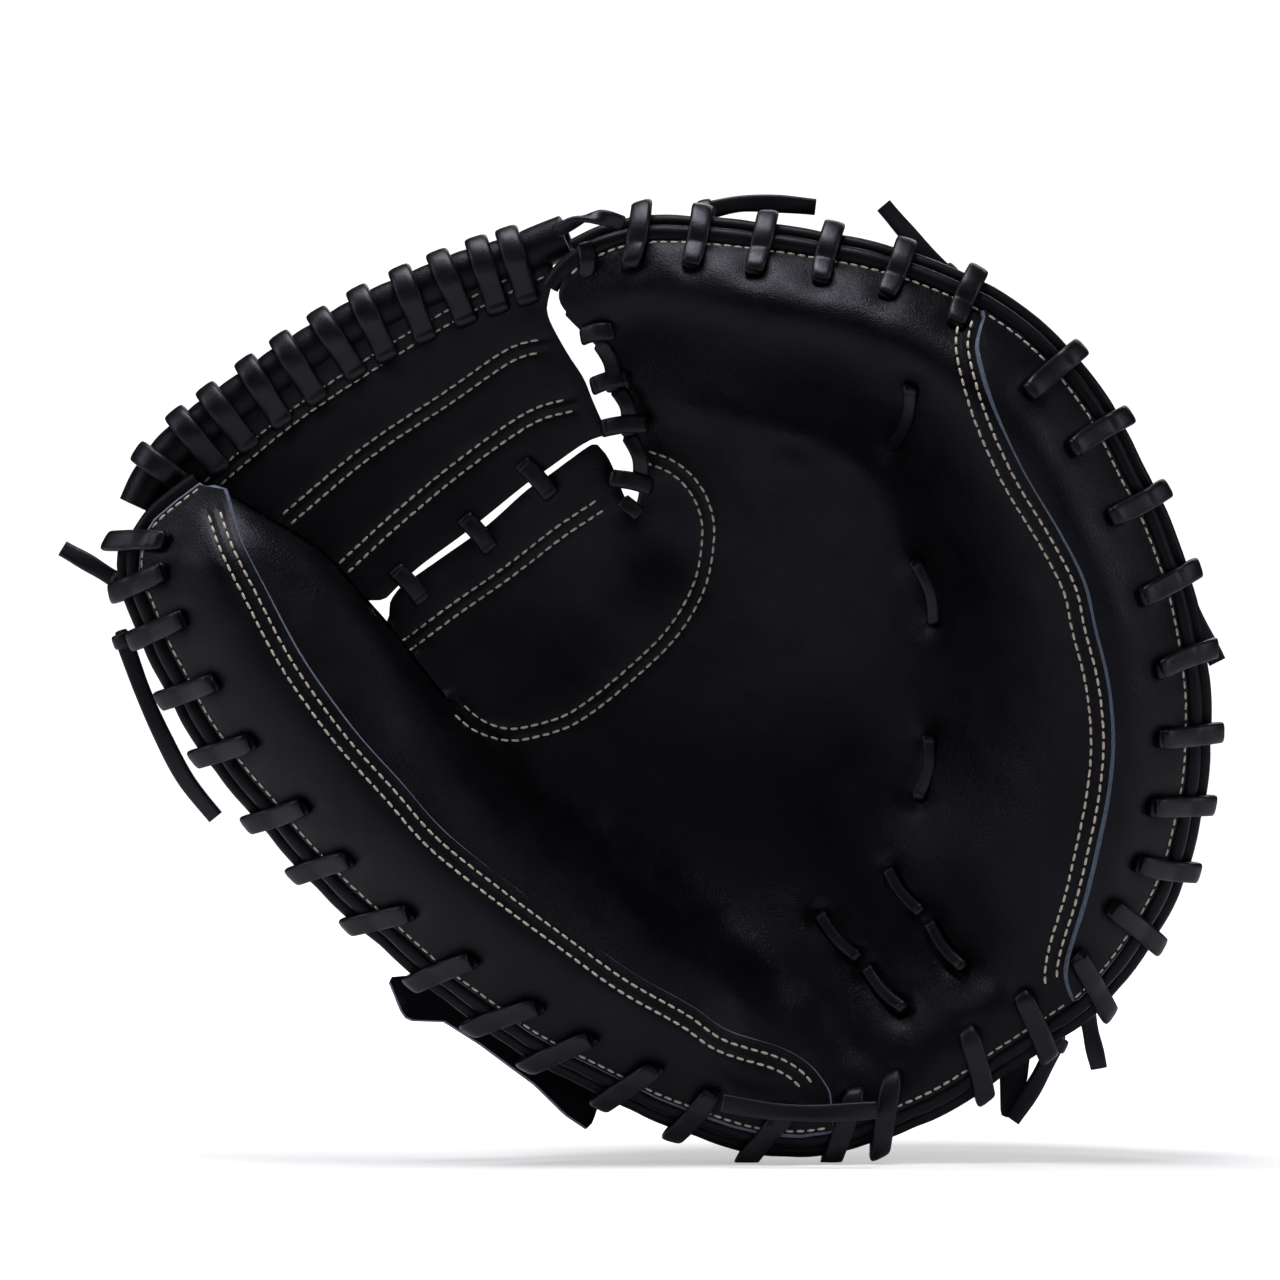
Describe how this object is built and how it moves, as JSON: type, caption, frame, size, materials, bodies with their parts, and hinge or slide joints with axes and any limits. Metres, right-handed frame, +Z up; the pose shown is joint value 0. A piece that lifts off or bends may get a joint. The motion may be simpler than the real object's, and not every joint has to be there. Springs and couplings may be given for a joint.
{
  "type": "baseball glove",
  "caption": "Left-hand catcher's mitt in black leather: padded palm and thumb wings laced round a rolled rim, closed two-piece web with laced roll, wrist strap.",
  "frame": {"origin": "middle of the heel rest, on the lace loop that the mitt stands on", "axes": "+Z up from the heel towards the web and finger tips, -Y out of the palm towards the ball, +Y to the back of the hand, +X towards the little finger"},
  "size_m": [0.3327, 0.1275, 0.275],
  "materials": {
    "shell_leather": "smooth, semi-matte",
    "panel_leather": "smooth, semi-matte",
    "strap_leather": "smooth, semi-matte",
    "lace": "waxed rawhide",
    "binding": "rolled, semi-matte",
    "lining_leather": "matte",
    "felt": "pressed felt",
    "fleece": "pile"
  },
  "bodies": {
    "palm_body": {"palm_leather": "shell_leather", "pinky_panel": "panel_leather", "web_crotch_patch": "shell_leather", "finger_pad": "felt", "pocket_pad": "felt", "heel_pad": "felt", "palm_lining": "lining_leather", "index_finger_stall": "lining_leather", "middle_finger_stall": "lining_leather", "ring_finger_stall": "lining_leather", "little_finger_stall": "lining_leather", "finger_back_leather": "shell_leather", "index_finger_hood": "shell_leather", "finger_front_roll": "binding", "finger_back_roll": "binding", "finger_rim_lace": "lace", "web_front_panel": "shell_leather", "web_back_panel": "shell_leather", "web_roll": "binding", "web_roll_core": "felt", "web_roll_lace": "lace", "web_slit_laces": "lace", "web_finger_lace": "lace", "pocket_tie_laces": "lace", "heel_break_laces": "lace", "heel_tab": "strap_leather"},
    "thumb_body": {"thumb_leather": "shell_leather", "thumb_panel": "panel_leather", "thumb_pad": "felt", "thumb_lining": "lining_leather", "thumb_stall": "lining_leather", "thumb_back_leather": "shell_leather", "thumb_front_roll": "binding", "thumb_back_roll": "binding", "thumb_rim_lace": "lace", "web_roll_thumb_end": "binding", "web_roll_thumb_lace": "lace"},
    "strap_body": {"wrist_strap": "strap_leather", "strap_lining": "fleece"},
    "rim_lace_end_a_body": {"rim_lace_end_a": "lace"},
    "rim_lace_end_b_body": {"rim_lace_end_b": "lace"},
    "rim_lace_end_c_body": {"rim_lace_end_c": "lace"},
    "rim_lace_end_d_body": {"rim_lace_end_d": "lace"},
    "rim_lace_end_e_body": {"rim_lace_end_e": "lace"},
    "heel_lace_end_a_body": {"heel_lace_end_a": "lace"},
    "heel_lace_end_b_body": {"heel_lace_end_b": "lace"},
    "thumb_tie_end_body": {"thumb_tie_end": "lace"}
  },
  "joints": [
    {"name": "thumb_close", "type": "hinge", "parent": "palm_body", "child": "thumb_body", "pos_m": [-0.18554, -0.002, 0.20343], "axis": [-0.7693, 0, 0.6389], "range_deg": [-5, 40]},
    {"name": "strap_adjust", "type": "slide", "parent": "palm_body", "child": "strap_body", "axis": [-0.8868, 0, -0.4622], "range_m": [-0.004, 0.008]},
    {"name": "rim_lace_end_a_swing", "type": "hinge", "parent": "thumb_body", "child": "rim_lace_end_a_body", "pos_m": [-0.20349, 0.00822, 0.16524], "axis": [0, 1, 0], "range_deg": [-14, 14]},
    {"name": "rim_lace_end_b_swing", "type": "hinge", "parent": "thumb_body", "child": "rim_lace_end_b_body", "pos_m": [-0.20206, 0.0073, 0.14871], "axis": [0, 1, 0], "range_deg": [-6, 6]},
    {"name": "rim_lace_end_c_swing", "type": "hinge", "parent": "palm_body", "child": "rim_lace_end_c_body", "pos_m": [-0.03562, -0.00643, 0.27069], "axis": [0, 1, 0], "range_deg": [-12, 12]},
    {"name": "rim_lace_end_d_swing", "type": "hinge", "parent": "palm_body", "child": "rim_lace_end_d_body", "pos_m": [0.03249, -0.01429, 0.25217], "axis": [0, 1, 0], "range_deg": [-14, 14]},
    {"name": "rim_lace_end_e_swing", "type": "hinge", "parent": "palm_body", "child": "rim_lace_end_e_body", "pos_m": [0.09832, -0.00613, 0.16524], "axis": [0, 1, 0], "range_deg": [-14, 14]},
    {"name": "heel_lace_end_a_swing", "type": "hinge", "parent": "palm_body", "child": "heel_lace_end_a_body", "pos_m": [0.07324, 0.0081, 0.04383], "axis": [0, 1, 0], "range_deg": [-12, 12]},
    {"name": "heel_lace_end_b_swing", "type": "hinge", "parent": "palm_body", "child": "heel_lace_end_b_body", "pos_m": [0.06469, 0.0089, 0.03329], "axis": [0, 1, 0], "range_deg": [-10, 8]},
    {"name": "thumb_tie_end_swing", "type": "hinge", "parent": "thumb_body", "child": "thumb_tie_end_body", "pos_m": [-0.03106, -0.02309, 0.01818], "axis": [0, 1, 0], "range_deg": [-5, 8]}
  ]
}
